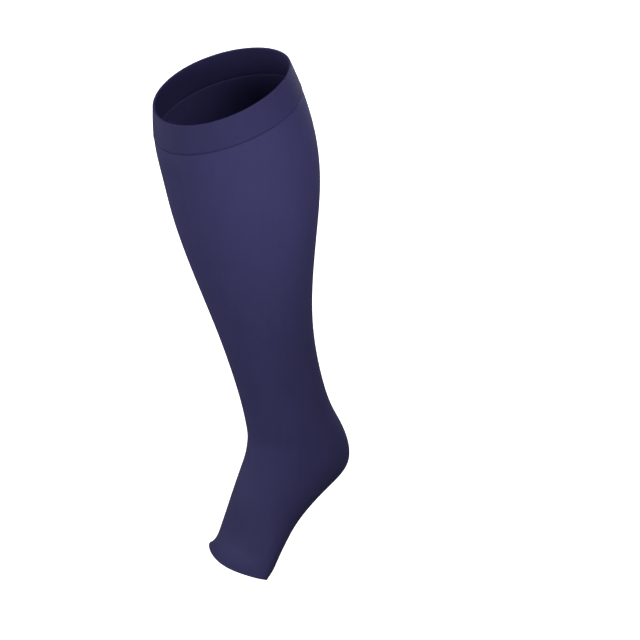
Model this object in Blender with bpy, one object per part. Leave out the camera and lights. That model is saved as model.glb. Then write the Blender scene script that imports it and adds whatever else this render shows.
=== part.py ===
"""Knee-high open-toe compression stocking in its worn shape.

The frame: +Z runs up the leg, the shin and the toes face -Y, and X = 0 is the stocking's plane of
symmetry. The origin is the centre of the top opening, where the wearer's leg holds the stocking up.
The stocking is an empty tube of knitted cloth, open at the knee and at the toes.
"""
import math

import bpy
import numpy as np

MM = 0.001

# Driving dimensions, in millimetres
LEG_WALL = 1.2          # the single knit of the leg and foot
BAND_WALL = 2.2         # the turned welt at the top, two layers of knit
BAND_STEP = 0.6         # how far the band stands out from the leg's surface
BAND_EDGE_ROUND = 0.7   # the rounding of the fold and of the band's lower edge
SEAM_GAP = 0.3          # between the band and the leg
AROUND = 40             # points round each ring
BAND_RINGS = 5
LEG_RINGS = 50
SPACING_SAMPLES = 400   # trial sections from which the rings' places are worked out

# The worn outline, in millimetres: one row for each section from the knee to the toes.
# front and back are the section's ends in the plane of symmetry, and half_width is its reach in X.
# egg widens the front half and narrows the back half, as a share of the width.
# squareness is the section's superellipse exponent: 2 is an ellipse.
# side_rise is how far the section's two sides sit towards the knee, out of the section's plane.
SECTION_COLUMNS = (
    "front_y", "front_z", "back_y", "back_z", "half_width", "egg", "squareness", "side_rise",
)
SECTIONS = {
    "top_edge":    (-60.5, -21, 60.5, 21, 60, 0.05, 2.0, 2),
    "band_edge":   (-61.5, -47, 72, -5, 62.5, 0.0, 2.0, 1),
    "under_knee":  (-55, -82, 84, -44, 65.5, -0.03, 2.0, 0),
    "calf":        (-47, -116, 89, -82, 65.5, -0.04, 2.0, 0),
    "calf_foot":   (-32, -165, 87, -138, 59, -0.04, 2.0, 0),
    "shin":        (-15, -212, 85, -191, 49, -0.02, 2.0, 0),
    "lower_shin":  (0, -255, 88, -237, 39.5, 0.02, 2.0, 0),
    "over_ankle":  (12, -295, 95, -277, 33, 0.04, 2.0, 0),
    "ankle":       (19, -322, 103, -309, 31, 0.05, 2.0, 0),
    "ankle_bend":  (23, -342, 115, -342, 31.5, 0.04, 2.0, 0),
    "heel_top":    (24, -353, 131, -376.5, 32, 0.0, 2.0, 0),
    "heel":        (24, -360, 132.5, -403, 32, -0.02, 2.1, 0),
    "heel_sole":   (22, -371, 112.5, -422, 31, -0.04, 2.1, 0),
    "instep":      (18, -387, 89, -433.5, 33.5, -0.05, 2.1, 0),
    "arch":        (11, -410, 67.5, -447, 35.5, -0.05, 2.1, 0),
    "ball_start":  (7, -438, 44, -464.5, 40.5, -0.05, 2.2, 2),
    "ball":        (1, -463, 32.5, -475.5, 42.5, -0.03, 2.2, -3),
    "toe_edge":    (-13.5, -475.5, 20, -490, 43.5, -0.16, 2.1, 4.5),
}

# Colours are linear RGBA
KNIT_COLOUR = (0.050, 0.046, 0.128, 1.0)
BAND_COLOUR = (0.043, 0.040, 0.113, 1.0)
KNIT_ROUGHNESS = 0.78
BAND_ROUGHNESS = 0.82


def clear_scene():
    for obj in list(bpy.data.objects):
        bpy.data.objects.remove(obj, do_unlink=True)


def cloth_material(name, colour, roughness):
    material = bpy.data.materials.new(name)
    material.use_nodes = True
    shader = material.node_tree.nodes["Principled BSDF"]
    shader.inputs["Base Color"].default_value = colour
    shader.inputs["Roughness"].default_value = roughness
    shader.inputs["Metallic"].default_value = 0.0
    return material


def section_rows():
    return np.array(list(SECTIONS.values()), dtype=float)


def side_steps(rows):
    """The distances from each section to the next, in front and behind."""
    front = np.linalg.norm(np.diff(rows[:, 0:2], axis=0), axis=1)
    back = np.linalg.norm(np.diff(rows[:, 2:4], axis=0), axis=1)
    return front, back


def places_along(rows):
    """Each section's distance down the stocking, as the mean of the distances in front and behind."""
    front, back = side_steps(rows)
    return np.concatenate([[0.0], np.cumsum((front + back) / 2)])


def natural_spline(knots, values, at):
    """Values of the natural cubic spline through (knots, values), column by column."""
    gaps = np.diff(knots)
    count = len(knots)
    matrix = np.eye(count)
    target = np.zeros_like(values)
    for i in range(1, count - 1):
        matrix[i, i - 1:i + 2] = gaps[i - 1], 2 * (gaps[i - 1] + gaps[i]), gaps[i]
        target[i] = 6 * (
            (values[i + 1] - values[i]) / gaps[i] - (values[i] - values[i - 1]) / gaps[i - 1]
        )
    bend = np.linalg.solve(matrix, target)
    cell = np.clip(np.searchsorted(knots, at, side="right") - 1, 0, count - 2)
    gap = gaps[cell][:, None]
    low = (knots[cell + 1] - at)[:, None] / gap
    high = (at - knots[cell])[:, None] / gap
    straight = low * values[cell] + high * values[cell + 1]
    curved = (low ** 3 - low) * bend[cell] + (high ** 3 - high) * bend[cell + 1]
    return straight + curved * gap ** 2 / 6


def sections_at(places):
    rows = section_rows()
    return natural_spline(places_along(rows), rows, places)


def even_places(start, end, rings):
    """Places for rings with even steps on the longer side, so that the turn of the heel gets more."""
    trial = np.linspace(start, end, SPACING_SAMPLES)
    front, back = side_steps(sections_at(trial))
    travelled = np.concatenate([[0.0], np.cumsum(np.maximum(front, back))])
    return np.interp(np.linspace(0, travelled[-1], rings), travelled, trial)


def signed_power(value, power):
    return math.copysign(abs(value) ** power, value)


def ring_points(section, rise_direction):
    """The points of one ring, from the front point round by +X to the back and on by -X."""
    front_y, front_z, back_y, back_z, half_width, egg, squareness, side_rise = section
    points = []
    for i in range(AROUND):
        angle = 2 * math.pi * i / AROUND
        forward = signed_power(math.cos(angle), 2 / squareness)
        sideways = signed_power(math.sin(angle), 2 / squareness)
        rise = side_rise * sideways ** 2
        x = half_width * sideways * (1 + egg * forward)
        y = (front_y + back_y) / 2 + (front_y - back_y) / 2 * forward + rise * rise_direction[0]
        z = (front_z + back_z) / 2 + (front_z - back_z) / 2 * forward + rise * rise_direction[1]
        points.append((x * MM, y * MM, z * MM))
    return points


def towards_knee(section):
    """The unit normal of a section's plane, in Y and Z, on the side of the knee."""
    along_y = section[2] - section[0]
    along_z = section[3] - section[1]
    length = math.hypot(along_y, along_z)
    return (-along_z / length, along_y / length)


def tube(name, start, end, rings):
    """An open tube through the stocking's sections, from one distance down it to another."""
    vertices = []
    for section in sections_at(even_places(start, end, rings)):
        vertices.extend(ring_points(section, towards_knee(section)))
    faces = []
    for ring in range(rings - 1):
        for i in range(AROUND):
            here = ring * AROUND + i
            beside = ring * AROUND + (i + 1) % AROUND
            faces.append((here, here + AROUND, beside + AROUND, beside))
    mesh = bpy.data.meshes.new(name)
    mesh.from_pydata(vertices, [], faces)
    mesh.shade_smooth()
    obj = bpy.data.objects.new(name, mesh)
    bpy.context.collection.objects.link(obj)
    return obj


def give_wall(obj, wall, outward):
    """Thickens a tube into a wall, with the stated part of it outside the tube's surface."""
    modifier = obj.modifiers.new("wall", "SOLIDIFY")
    modifier.thickness = wall * MM
    modifier.offset = 2 * outward / wall - 1
    modifier.use_even_offset = True


def round_edges(obj, radius):
    """Rounds the square edges at the ends of a wall."""
    modifier = obj.modifiers.new("rounding", "BEVEL")
    modifier.width = radius * MM
    modifier.segments = 2
    modifier.limit_method = "ANGLE"
    modifier.angle_limit = math.radians(60)


def band_depth():
    """The distance from the top edge down to the band's lower edge."""
    return places_along(section_rows())[list(SECTIONS).index("band_edge")]


def stocking_length():
    return places_along(section_rows())[-1]


def make_top_band():
    band = tube("top_band", 0, band_depth(), BAND_RINGS)
    give_wall(band, BAND_WALL, BAND_STEP)
    round_edges(band, BAND_EDGE_ROUND)
    band.data.materials.append(cloth_material("band_knit", BAND_COLOUR, BAND_ROUGHNESS))


def make_leg_and_foot():
    leg = tube("leg_and_foot", band_depth() + SEAM_GAP, stocking_length(), LEG_RINGS)
    give_wall(leg, LEG_WALL, 0)
    leg.data.materials.append(cloth_material("leg_knit", KNIT_COLOUR, KNIT_ROUGHNESS))


clear_scene()
make_top_band()
make_leg_and_foot()
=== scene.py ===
# A knee-high open-toe compression stocking: fine nylon and elastane knit in its worn shape, hollow,
# with a doubled band under the knee. +Z is up the leg, -Y is the shin's side, lengths are in mm.
import math
import bpy
import numpy as np
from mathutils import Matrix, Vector


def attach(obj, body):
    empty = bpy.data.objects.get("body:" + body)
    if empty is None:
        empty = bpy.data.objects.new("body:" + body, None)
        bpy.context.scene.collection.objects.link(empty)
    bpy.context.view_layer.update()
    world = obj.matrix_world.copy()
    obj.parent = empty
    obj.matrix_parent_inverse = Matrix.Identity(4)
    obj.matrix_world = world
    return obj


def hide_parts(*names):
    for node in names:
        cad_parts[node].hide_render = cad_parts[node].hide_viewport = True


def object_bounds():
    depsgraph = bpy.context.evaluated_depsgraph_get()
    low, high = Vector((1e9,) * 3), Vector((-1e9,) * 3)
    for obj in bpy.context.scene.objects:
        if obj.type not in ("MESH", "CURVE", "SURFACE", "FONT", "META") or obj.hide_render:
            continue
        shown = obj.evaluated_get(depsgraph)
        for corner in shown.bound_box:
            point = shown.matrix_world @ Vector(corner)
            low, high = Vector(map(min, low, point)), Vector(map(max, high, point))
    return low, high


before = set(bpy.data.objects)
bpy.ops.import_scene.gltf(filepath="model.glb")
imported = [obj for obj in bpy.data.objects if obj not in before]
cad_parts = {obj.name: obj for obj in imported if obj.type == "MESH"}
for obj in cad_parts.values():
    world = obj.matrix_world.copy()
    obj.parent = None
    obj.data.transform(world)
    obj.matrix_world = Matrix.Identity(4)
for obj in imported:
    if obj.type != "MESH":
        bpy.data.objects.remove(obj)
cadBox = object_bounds()
print("frame loaded:", sorted(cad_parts))

mm = 0.001

# ---- the worn outline: one row for each section from the knee down to the toes
# front and back are the ends in the plane of symmetry, halfWidth the reach in X, egg the share by
# which the front half is wider, squareness the superellipse exponent, sideRise how far the sides
# sit towards the knee.
outline = {
    "columns": ("frontY", "frontZ", "backY", "backZ", "halfWidth", "egg", "squareness", "sideRise"),
    "topEdge": (-60.5, -21, 60.5, 21, 60, 0.05, 2.0, 2),
    "bandEdge": (-61.5, -47, 72, -5, 62.5, 0.0, 2.0, 1),
    "underKnee": (-55, -82, 84, -44, 65.5, -0.03, 2.0, 0),
    "calf": (-47, -116, 89, -82, 65.5, -0.04, 2.0, 0),
    "calfFoot": (-32, -165, 87, -138, 59, -0.04, 2.0, 0),
    "shin": (-15, -212, 85, -191, 49, -0.02, 2.0, 0),
    "lowerShin": (0, -255, 88, -237, 39.5, 0.02, 2.0, 0),
    "overAnkle": (12, -295, 95, -277, 33, 0.04, 2.0, 0),
    "ankle": (19, -322, 103, -309, 31, 0.05, 2.0, 0),
    "ankleBend": (23, -342, 115, -342, 31.5, 0.04, 2.0, 0),
    "heelTop": (24, -353, 131, -376.5, 32, 0.0, 2.0, 0),
    "heel": (24, -360, 132.5, -403, 32, -0.02, 2.1, 0),
    "heelSole": (22, -371, 112.5, -422, 31, -0.04, 2.1, 0),
    "instep": (18, -387, 89, -433.5, 33.5, -0.05, 2.1, 0),
    "arch": (11, -410, 67.5, -447, 35.5, -0.05, 2.1, 0),
    "ballStart": (7, -438, 44, -464.5, 40.5, -0.05, 2.2, 2),
    "ball": (1, -463, 32.5, -475.5, 42.5, -0.03, 2.2, -3),
    "toeEdge": (-13.5, -475.5, 20, -490, 43.5, -0.16, 2.1, 4.5),
}
sectionNames = [name for name in outline if name != "columns"]
sectionRows = np.array([outline[name] for name in sectionNames], float)


def placesAlong(rows):
    # distance down the stocking: the running mean of the steps in front and behind
    front = np.linalg.norm(np.diff(rows[:, 0:2], axis=0), axis=1)
    back = np.linalg.norm(np.diff(rows[:, 2:4], axis=0), axis=1)
    return np.concatenate([[0.0], np.cumsum((front + back) / 2)])


sectionPlaces = placesAlong(sectionRows)
bandDepth = sectionPlaces[sectionNames.index("bandEdge")]
stockingLength = sectionPlaces[-1]


def splineBend(knots, values):
    # second derivatives of the natural cubic spline: solve the usual three-term equations
    gaps = np.diff(knots)
    inner = np.arange(1, len(knots) - 1)
    matrix = np.eye(len(knots))
    matrix[inner, inner - 1] = gaps[:-1]
    matrix[inner, inner] = 2 * (gaps[:-1] + gaps[1:])
    matrix[inner, inner + 1] = gaps[1:]
    slopes = np.diff(values, axis=0) / gaps[:, None]
    target = np.zeros_like(values)
    target[inner] = 6 * np.diff(slopes, axis=0)
    return np.linalg.solve(matrix, target)


sectionBend = splineBend(sectionPlaces, sectionRows)


def sectionAt(place):
    # section(p) = low * row + high * next row
    # + ((low^3 - low) * bend + (high^3 - high) * next bend) * gap^2 / 6
    cell = np.clip(np.searchsorted(sectionPlaces, place, side="right") - 1, 0, len(sectionPlaces) - 2)
    gap = (sectionPlaces[cell + 1] - sectionPlaces[cell])[..., None]
    low = (sectionPlaces[cell + 1] - place)[..., None] / gap
    high = 1 - low
    curve = (low ** 3 - low) * sectionBend[cell] + (high ** 3 - high) * sectionBend[cell + 1]
    row = low * sectionRows[cell] + high * sectionRows[cell + 1] + curve * gap ** 2 / 6
    return np.moveaxis(row, -1, 0)


def legSurface(place, angle):
    # x = halfWidth * S * (1 + egg * C), (y, z) = middle + half chord * C + sideRise * S^2 * knee direction,
    # where C and S are the signed powers 2/squareness of cos and sin of the angle from the front
    frontY, frontZ, backY, backZ, halfWidth, egg, squareness, sideRise = sectionAt(place)
    cosine, sine = np.cos(angle), np.sin(angle)
    forward = np.sign(cosine) * np.abs(cosine) ** (2 / squareness)
    sideways = np.sign(sine) * np.abs(sine) ** (2 / squareness)
    chordY, chordZ = backY - frontY, backZ - frontZ
    chord = np.hypot(chordY, chordZ)
    rise = sideRise * sideways ** 2
    x = halfWidth * sideways * (1 + egg * forward)
    y = (frontY + backY) / 2 - chordY / 2 * forward - rise * chordZ / chord
    z = (frontZ + backZ) / 2 - chordZ / 2 * forward + rise * chordY / chord
    return np.stack([x, y, z], -1)


def legOutward(place, angle):
    # unit normal: cross product of the surface's slopes round the ring and down the leg
    stepPlace, stepAngle = 0.5, 0.01
    above = legSurface(np.clip(place - stepPlace, 0, stockingLength), angle)
    below = legSurface(np.clip(place + stepPlace, 0, stockingLength), angle)
    ahead = legSurface(place, angle + stepAngle)
    behind = legSurface(place, angle - stepAngle)
    normal = np.cross(below - above, ahead - behind)
    return normal / np.linalg.norm(normal, axis=-1, keepdims=True)


def ringAngles(count):
    return np.linspace(0, 2 * np.pi, count, endpoint=False)


def smoothRise(x):
    # 0 below 0, 1 above 1, 3x^2 - 2x^3 between
    x = np.clip(x, 0, 1)
    return x * x * (3 - 2 * x)


def closedWall(name, place, depth, around, reverseFrom):
    # the wall's path (place, depth outward of the leg's surface) is a closed loop, and it is carried
    # round the leg: P(i, j) = legSurface(place_i, angle_j) + depth_i * outward. Both ways close up.
    # Rows from reverseFrom on take the second material.
    placeGrid, angleGrid = np.meshgrid(place, ringAngles(around), indexing="ij")
    points = legSurface(placeGrid, angleGrid) + depth[:, None, None] * legOutward(placeGrid, angleGrid)
    rows, cols = placeGrid.shape
    i, j = np.meshgrid(np.arange(rows), np.arange(cols), indexing="ij")
    iNext, jNext = (i + 1) % rows, (j + 1) % cols
    corners = np.stack([i * cols + j, iNext * cols + j, iNext * cols + jNext, i * cols + jNext], -1)
    mesh = bpy.data.meshes.new(name)
    mesh.from_pydata((points * mm).reshape(-1, 3), [], corners.reshape(-1, 4))
    # UV: u is the share of the way round, v the distance down the stocking in metres
    vNext = np.roll(place, -1)
    u = np.stack([j, j, j + 1, j + 1], -1) / cols
    v = np.stack([place[i], vNext[i], vNext[i], place[i]], -1) * mm
    layer = mesh.uv_layers.new(name="knitMap")
    layer.data.foreach_set("uv", np.stack([u, v], -1).astype(np.float32).ravel())
    # how far the knit is stretched: 0 at the narrowest ring, 1 at the calf
    attribute = mesh.attributes.new("stretch", "FLOAT", "POINT")
    attribute.data.foreach_set("value", np.repeat(stretchAt(place), cols).astype(np.float32))
    side = np.zeros(rows, int)
    side[reverseFrom:] = 1
    mesh.polygons.foreach_set("material_index", np.repeat(side, cols))
    mesh.shade_smooth()
    mesh.update()
    piece = bpy.data.objects.new(name, mesh)
    bpy.context.scene.collection.objects.link(piece)
    return piece


def stretchAt(place):
    # girth of the ring, as a share of the way from the narrowest ring's to the widest's
    placeCount, angleCount = 120, 48
    trial = np.linspace(0, stockingLength, placeCount)
    ring = legSurface(*np.meshgrid(trial, ringAngles(angleCount), indexing="ij"))
    girth = np.linalg.norm(np.roll(ring, -1, axis=1) - ring, axis=-1).sum(1)
    share = (girth - girth.min()) / (girth.max() - girth.min())
    return np.interp(place, trial, share)


# ---- materials
def hexLinear(code):
    # sRGB hex to linear
    channels = np.array([int(code[k:k + 2], 16) for k in (1, 3, 5)]) / 255
    linear = np.where(channels <= 0.04045, channels / 12.92, ((channels + 0.055) / 1.055) ** 2.4)
    return (*linear.tolist(), 1.0)


def addNode(tree, kind, settings=None, links=None):
    # adds a node, sets properties and sockets by name or number, and links sockets to other outputs
    node = tree.nodes.new(kind)
    for key, value in (settings or {}).items():
        if isinstance(key, int) or key in node.inputs:
            node.inputs[key].default_value = value
        else:
            setattr(node, key, value)
    for key, source in (links or {}).items():
        tree.links.new(source, node.inputs[key])
    return node


def calculate(tree, operation, first, second=None, third=None):
    # a Math node on numbers or outputs
    node = addNode(tree, "ShaderNodeMath", {"operation": operation})
    for place, value in enumerate((first, second, third)):
        if value is None:
            continue
        if isinstance(value, (int, float)):
            node.inputs[place].default_value = value
        else:
            tree.links.new(value, node.inputs[place])
    return node.outputs[0]


knit = {
    "dense": "#3B3962",           # where the loops sit close, at the ankle and foot
    "open": "#3E3C68",            # where the calf spreads them
    "grooveShade": 0.86,               # painted shade: brightness between two wales
    "walesAround": 320,           # columns of stitches; a real one has about 400
    "courseMm": 1.1,              # height of a stitch; a real one is about 0.5 mm
    "faceLean": -0.5,             # lean of a stitch's legs across a wale, in courses
    "reverseLean": 0.15,
    "loopDepth": 0.25,            # how far a stitch sinks between two courses
    "reverseRib": 0.35,           # how much of the wale shows on the reverse
    "roughness": 0.62,
    "ior": 1.53,                  # nylon
    "specular": 0.08,
    "sheen": 0.03,
    "sheenRoughness": 0.45,
    "sheenTint": "#6C69B0",
    "bumpMm": 0.12,
    "bumpStrength": 0.6,
    "streakScale": 260.0,         # yarn streaks, drawn out up the leg
    "streakStretch": 0.06,
    "streakAmount": 0.12,
    "cloudScale": 38.0,           # slow change of tone over the cloth
    "cloudAmount": 0.10,
}


def knitMaterial(name, look, reverse=False):
    # warp of nylon-covered elastane: a matte, slightly silky cloth whose loops stand in fine columns.
    # Real wales are 0.6 to 1.1 mm apart and courses 0.5 mm: both are drawn coarser, so that they show.
    material = bpy.data.materials.new(name)
    material.use_nodes = True
    tree = material.node_tree
    shader = tree.nodes["Principled BSDF"]
    shader.inputs["Roughness"].default_value = look["roughness"]
    shader.inputs["IOR"].default_value = look["ior"]
    shader.inputs["Specular IOR Level"].default_value = look["specular"]
    shader.inputs["Sheen Weight"].default_value = look["sheen"]
    shader.inputs["Sheen Roughness"].default_value = look["sheenRoughness"]
    shader.inputs["Sheen Tint"].default_value = hexLinear(look["sheenTint"])
    uv = addNode(tree, "ShaderNodeUVMap", {"uv_map": "knitMap"})
    split = addNode(tree, "ShaderNodeSeparateXYZ", links={0: uv.outputs[0]})
    wale = calculate(tree, "MULTIPLY", split.outputs[0], float(look["walesAround"]))
    course = calculate(tree, "DIVIDE", split.outputs[1], look["courseMm"] * mm)
    # distance from the wale's middle: 0 there, 1 in the groove between two wales
    across = calculate(tree, "PINGPONG", wale, 0.5)
    across = calculate(tree, "MULTIPLY", across, 2.0)
    rib = calculate(tree, "SINE", calculate(tree, "MULTIPLY", across, math.pi))
    # each leg of a stitch leans away from the middle, which makes the V of the face side
    slant = look["reverseLean"] if reverse else look["faceLean"]
    lean = calculate(tree, "MULTIPLY_ADD", across, slant, course)
    loop = calculate(tree, "SINE", calculate(tree, "MULTIPLY", lean, 2 * math.pi))
    loop = calculate(tree, "MULTIPLY_ADD", loop, look["loopDepth"], 1 - look["loopDepth"])
    if reverse:
        height = calculate(tree, "MULTIPLY_ADD", rib, look["reverseRib"], loop)
    else:
        height = calculate(tree, "MULTIPLY", rib, loop)
    # colour: stretched cloth is lighter, the grooves between wales are darkened with painted shade, and the
    # yarn varies a little
    stretch = addNode(tree, "ShaderNodeAttribute", {"attribute_name": "stretch"})
    base = addNode(tree, "ShaderNodeMix", {"data_type": "RGBA"}, {0: stretch.outputs["Fac"]})
    base.inputs[6].default_value = hexLinear(look["dense"])
    base.inputs[7].default_value = hexLinear(look["open"])
    where = addNode(tree, "ShaderNodeTexCoord")
    drawnOut = addNode(tree, "ShaderNodeMapping",
                       {"vector_type": "POINT", "Scale": (1.0, 1.0, look["streakStretch"])},
                       {0: where.outputs["Object"]})
    streaks = addNode(tree, "ShaderNodeTexNoise", {"Scale": look["streakScale"], "Detail": 2.0},
                      {0: drawnOut.outputs[0]})
    clouds = addNode(tree, "ShaderNodeTexNoise", {"Scale": look["cloudScale"], "Detail": 3.0},
                     {0: where.outputs["Object"]})
    # painted shade: the colour is darkened where the stitch height is low, in the grooves between wales
    tone = calculate(tree, "MULTIPLY_ADD", height, 1 - look["grooveShade"], look["grooveShade"])
    for noise, amount in ((streaks, look["streakAmount"]), (clouds, look["cloudAmount"])):
        swing = calculate(tree, "SUBTRACT", noise.outputs[0], 0.5)
        tone = calculate(tree, "MULTIPLY_ADD", swing, amount, tone)
    shade = addNode(tree, "ShaderNodeVectorMath", {"operation": "SCALE"},
                    {0: base.outputs[2], 3: tone})
    tree.links.new(shade.outputs[0], shader.inputs["Base Color"])
    bump = addNode(tree, "ShaderNodeBump",
                   {"Strength": look["bumpStrength"], "Distance": look["bumpMm"] * mm}, {"Height": height})
    tree.links.new(bump.outputs[0], shader.inputs["Normal"])
    return material


legFace = knitMaterial("elastaneKnitFace", knit)
legReverse = knitMaterial("elastaneKnitReverse", knit, reverse=True)
bandKnit = dict(knit, dense="#35335B", open="#383660")
bandFace = knitMaterial("elastaneWeltKnit", bandKnit)
print("materials made")

# ---- the band: a turned welt, knitted double and folded in at the top
band = {
    "standsOut": 0.35,      # how far the outer layer stands off the leg's surface
    "wall": 2.2,
    "edgeRound": 1.2,       # length of the rounding at the lower edge
    "beadHeight": 0.15,     # the tighter last course
    "beadUp": 1.6,          # its distance from the lower edge
    "beadWidth": 0.8,
    "around": 200,
    "ringsDown": 48,
    "edgeRings": 9,
    "foldRings": 9,
}


def bandPath():
    # outside: down from the fold, with a bead and a rounded lower edge; inside: back up; then the
    # fold, a half circle: place = r - r sin(t), depth = middle + r cos(t)
    radius = band["wall"] / 2
    middle = band["standsOut"] - radius
    outer = np.linspace(radius, bandDepth, band["ringsDown"])
    outer = np.concatenate([outer[:-1], np.linspace(outer[-2], bandDepth, band["edgeRings"])[1:]])
    fromEdge = bandDepth - outer
    rounding = np.clip(fromEdge / band["edgeRound"], 0, 1)
    outerDepth = band["standsOut"] * np.sqrt(1 - (1 - rounding) ** 2)
    outerDepth += band["beadHeight"] * np.exp(-((fromEdge - band["beadUp"]) / band["beadWidth"]) ** 2)
    inner = outer[::-1]
    innerDepth = 2 * middle - band["standsOut"] * smoothRise(fromEdge[::-1] / band["edgeRound"])
    turn = np.linspace(0, np.pi, band["foldRings"] + 2)[1:-1]
    foldPlace = radius - radius * np.sin(turn)
    foldDepth = middle - radius * np.cos(turn)
    place = np.concatenate([outer, inner, foldPlace])
    depth = np.concatenate([outerDepth, innerDepth, foldDepth])
    return place, depth


place, depth = bandPath()
topBand = closedWall("top_band_knit", place, depth, band["around"], len(place))
topBand.data.materials.append(bandFace)
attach(topBand, "root")
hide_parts("top_band")
print("band made")

# ---- the leg and foot: one tube of single knit
leg = {
    "wall": 1.2,
    "seamGap": 0.3,
    "hemDepth": 3.0,        # the tighter courses at the toe edge
    "hemBead": 0.35,
    "around": 176,
    "ringsDown": 210,
    "edgeRings": 7,
}


def legPath():
    # outside: down from the band's seam to the toe edge, where a small bead rounds it off with a half
    # circle; inside: back up to the seam
    radius = leg["wall"] / 2
    start, end = bandDepth + leg["seamGap"], stockingLength
    down = np.linspace(0, 1, leg["ringsDown"])
    outer = start + (end - radius - start) * down
    fromEdge = end - outer
    outerDepth = leg["hemBead"] * (1 - smoothRise(fromEdge / leg["hemDepth"]))
    turn = np.linspace(0, np.pi, leg["edgeRings"] + 2)[1:-1]
    edgePlace = end - radius + radius * np.sin(turn)
    edgeDepth = (outerDepth[-1] - leg["wall"]) / 2 + (outerDepth[-1] + leg["wall"]) / 2 * np.cos(turn)
    inner = outer[::-1]
    innerDepth = np.full_like(inner, -leg["wall"])
    place = np.concatenate([outer, edgePlace, inner])
    depth = np.concatenate([outerDepth, edgeDepth, innerDepth])
    return place, depth, len(outer) + len(edgePlace) // 2


place, depth, turnRow = legPath()
legAndFoot = closedWall("leg_and_foot_knit", place, depth, leg["around"], turnRow)
legAndFoot.data.materials.append(legFace)
legAndFoot.data.materials.append(legReverse)
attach(legAndFoot, "root")
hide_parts("leg_and_foot")
print("leg and foot made")

# ---- camera, floor and light
view = {
    "azimuth": 55, "elevation": 24,      # degrees round from the shin's side, and above the horizon
    "distance": 1860, "lens": 120,
    "aside": 85, "below": 204.5,         # the picture's centre from the top opening's, seen by the camera
}
turnAround, tilt = math.radians(view["azimuth"]), math.radians(view["elevation"])
back = Vector((math.sin(turnAround) * math.cos(tilt), -math.cos(turnAround) * math.cos(tilt), math.sin(tilt)))
right = Vector((math.cos(turnAround), math.sin(turnAround), 0))
up = back.cross(right)
aim = right * view["aside"] * mm - up * view["below"] * mm
cameraData = bpy.data.cameras.new("camera")
cameraData.lens = view["lens"]
camera = bpy.data.objects.new("camera", cameraData)
camera.location = aim + back * view["distance"] * mm
camera.rotation_euler = (-back).to_track_quat("-Z", "Y").to_euler()
bpy.context.scene.collection.objects.link(camera)
bpy.context.scene.camera = camera

studio = {
    "floorDrop": 40,             # floor below the toe edge
    "floorSize": 30.0,
    "floorColour": "#F4F4F4",
    "floorRoughness": 0.9,
    "floorGlow": 1.0,
    "skyToCamera": 1.0,
    "skyLight": 0.12,
}
floorMesh = bpy.data.meshes.new("floor")
half = studio["floorSize"] / 2
floorLevel = cadBox[0].z - studio["floorDrop"] * mm
floorMesh.from_pydata([(-half, -half, floorLevel), (half, -half, floorLevel), (half, half, floorLevel),
                       (-half, half, floorLevel)], [], [(0, 1, 2, 3)])
floor = bpy.data.objects.new("floor", floorMesh)
bpy.context.scene.collection.objects.link(floor)
# lit from behind, so that it shows no edge and no gradient
paper = bpy.data.materials.new("whitePaperFloor")
paper.use_nodes = True
paperShader = paper.node_tree.nodes["Principled BSDF"]
paperShader.inputs["Base Color"].default_value = hexLinear(studio["floorColour"])
paperShader.inputs["Roughness"].default_value = studio["floorRoughness"]
paperShader.inputs["Specular IOR Level"].default_value = 0.0
paperShader.inputs["Emission Color"].default_value = (1, 1, 1, 1)
paperShader.inputs["Emission Strength"].default_value = studio["floorGlow"]
floorMesh.materials.append(paper)
floor.visible_diffuse = False
floor.visible_glossy = False

world = bpy.data.worlds.new("studio")
world.use_nodes = True
bpy.context.scene.world = world
skyTree = world.node_tree
skyTree.nodes.clear()
rays = addNode(skyTree, "ShaderNodeLightPath")
skyLight = addNode(skyTree, "ShaderNodeBackground", {"Color": (1, 1, 1, 1), "Strength": studio["skyLight"]})
skySeen = addNode(skyTree, "ShaderNodeBackground", {"Color": (1, 1, 1, 1), "Strength": studio["skyToCamera"]})
skyMix = addNode(skyTree, "ShaderNodeMixShader",
                 links={0: rays.outputs["Is Camera Ray"], 1: skyLight.outputs[0], 2: skySeen.outputs[0]})
addNode(skyTree, "ShaderNodeOutputWorld", links={0: skyMix.outputs[0]})

# each light: degrees round from the shin's side, degrees up, metres from the calf, width and watts;
# the one above looks into the mouth
calfMiddle = Vector((0, 0.03, -0.2))
lights = {
    "front": {"azimuth": 3, "elevation": -3, "distance": 2.0, "size": 1.2, "power": 14.2},
    "left": {"azimuth": -58, "elevation": 3, "distance": 2.0, "size": 1.2, "power": 12.0},
    "low": {"azimuth": 25, "elevation": -5, "distance": 1.0, "size": 0.5, "power": 1.75},
    "over": {"azimuth": 100, "elevation": 50, "distance": 0.8, "size": 0.4, "power": 1.6},
    "near": {"azimuth": 85, "elevation": 15, "distance": 0.5, "size": 0.2, "power": 0.95},
    "rear": {"azimuth": 215, "elevation": 15, "distance": 2.0, "size": 1.2, "power": 18.0},
    "above": {"azimuth": 0, "elevation": 78, "distance": 1.2, "size": 0.3, "power": 3.0},
}
for name, light in lights.items():
    data = bpy.data.lights.new(name, "AREA")
    data.shape = "DISK"
    data.size = light["size"]
    data.energy = light["power"]
    turn, rise = math.radians(light["azimuth"]), math.radians(light["elevation"])
    away = Vector((math.sin(turn) * math.cos(rise), -math.cos(turn) * math.cos(rise), math.sin(rise)))
    lamp = bpy.data.objects.new(name, data)
    lamp.location = calfMiddle + away * light["distance"]
    lamp.rotation_euler = (-away).to_track_quat("-Z", "Y").to_euler()
    lamp.visible_camera = False
    bpy.context.scene.collection.objects.link(lamp)

bpy.context.scene.view_settings.view_transform = "Standard"
print("studio made")
